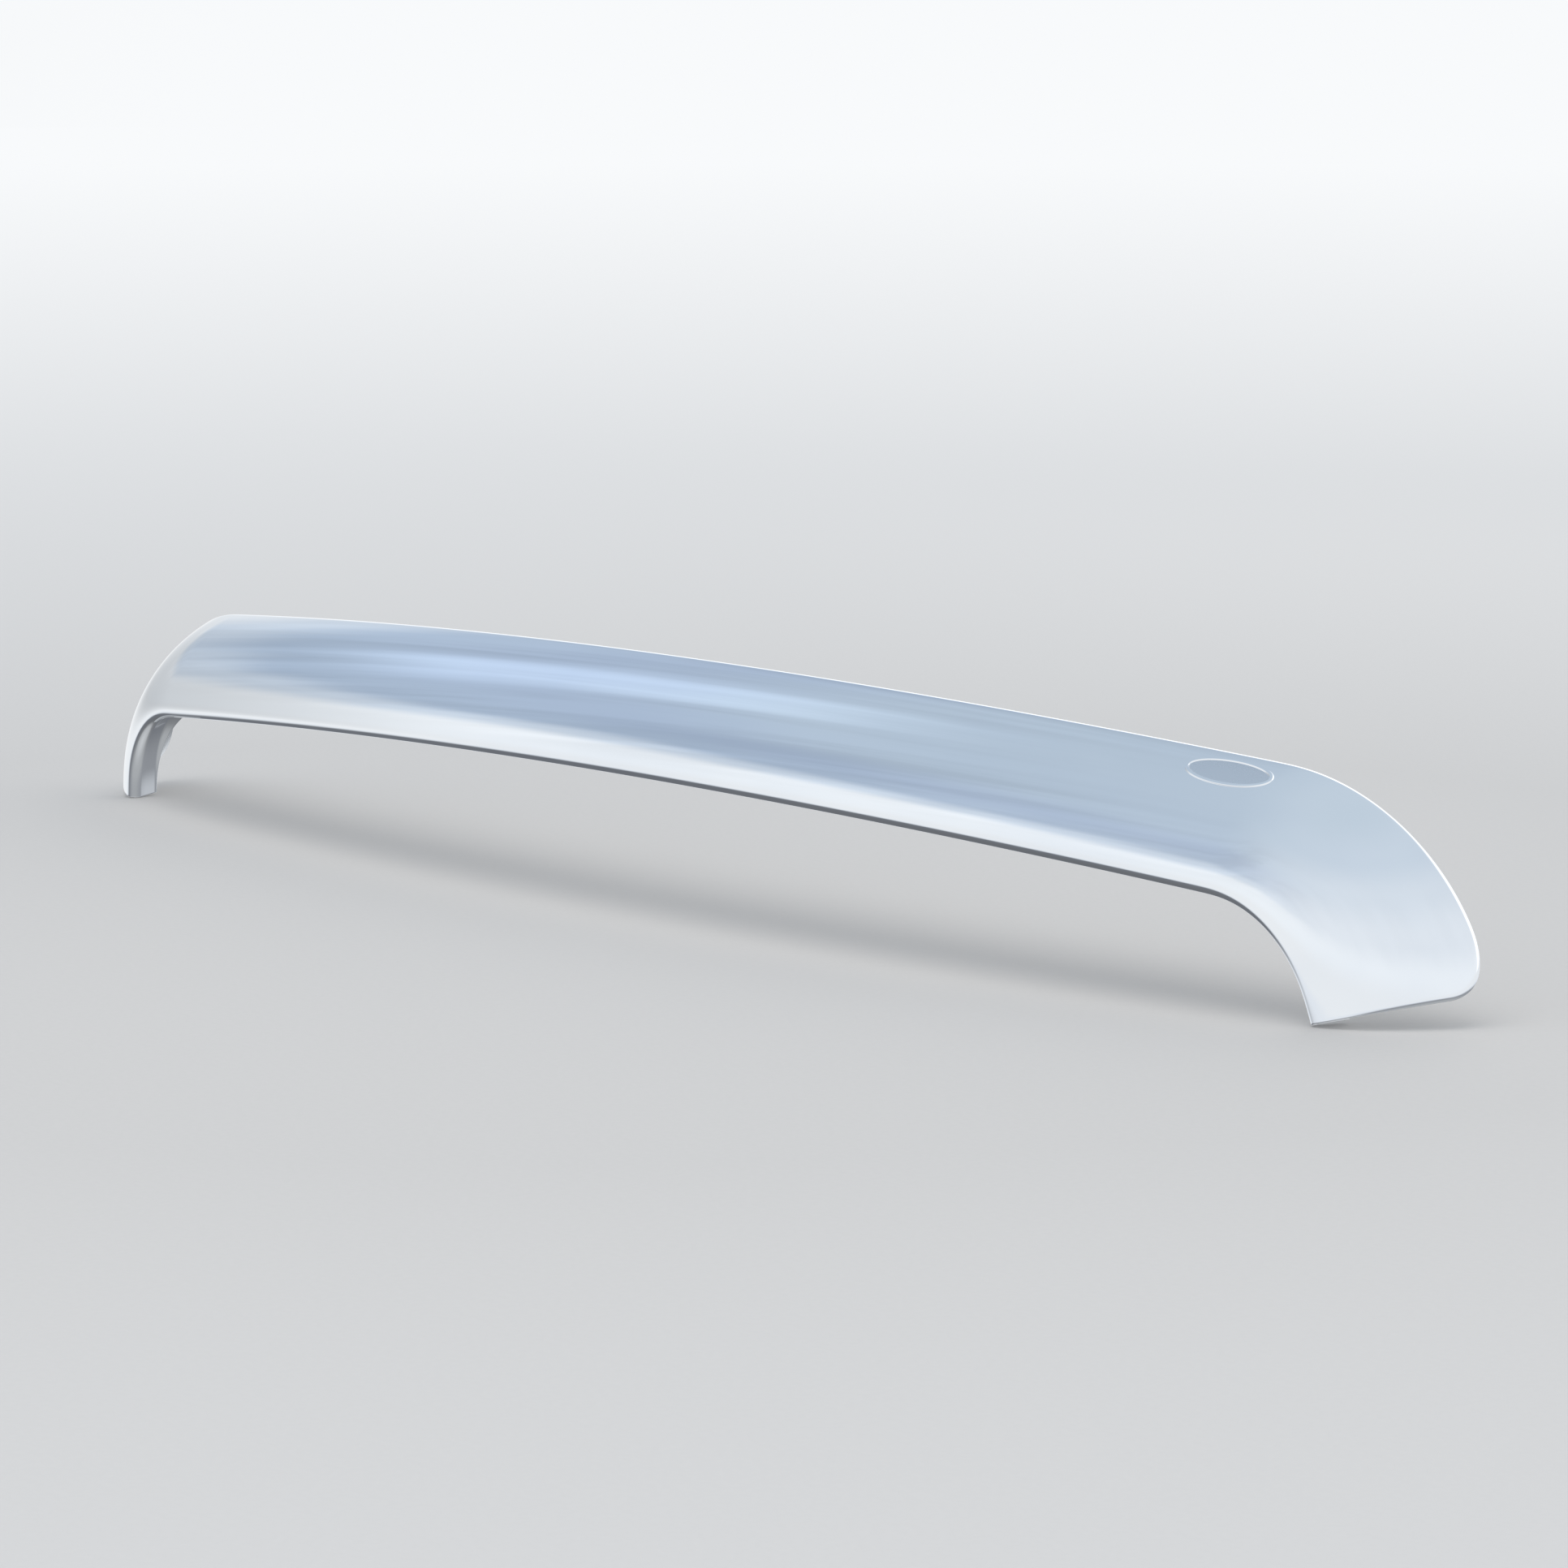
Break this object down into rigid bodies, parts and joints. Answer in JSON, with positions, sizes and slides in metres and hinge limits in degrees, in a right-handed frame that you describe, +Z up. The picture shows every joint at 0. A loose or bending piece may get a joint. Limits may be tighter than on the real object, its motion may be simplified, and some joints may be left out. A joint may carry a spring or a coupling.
{
  "type": "hood bug deflector",
  "caption": "Wrap-around hood bug deflector: chrome-plated moulded shell with a rounded face, turned-down ends, a plain oval relief and a screwed return flange.",
  "frame": {"origin": "midway between the two inner clip nuts, on top of the flange bosses they sit on", "axes": "+X to the vehicle's left, +Y rearward, +Z up; the face looks along -Y and up"},
  "size_m": [1.2754, 0.1173, 0.1495],
  "materials": {
    "chrome_plate": "bright mirror plating on moulded plastic",
    "screw_steel": "zinc-plated",
    "nylon": "black nylon",
    "clip_steel": "black phosphate on spring steel",
    "pad_rubber": "matt black"
  },
  "bodies": {
    "root": {"shield": "chrome_plate", "screw_1": "screw_steel", "washer_1": "nylon", "clip_nut_1": "clip_steel", "screw_2": "screw_steel", "washer_2": "nylon", "clip_nut_2": "clip_steel", "screw_3": "screw_steel", "washer_3": "nylon", "clip_nut_3": "clip_steel", "screw_4": "screw_steel", "washer_4": "nylon", "clip_nut_4": "clip_steel", "bumper_pad_1": "pad_rubber", "bumper_pad_2": "pad_rubber", "bumper_pad_3": "pad_rubber", "bumper_pad_4": "pad_rubber", "bumper_pad_5": "pad_rubber", "bumper_pad_6": "pad_rubber"}
  },
  "joints": []
}
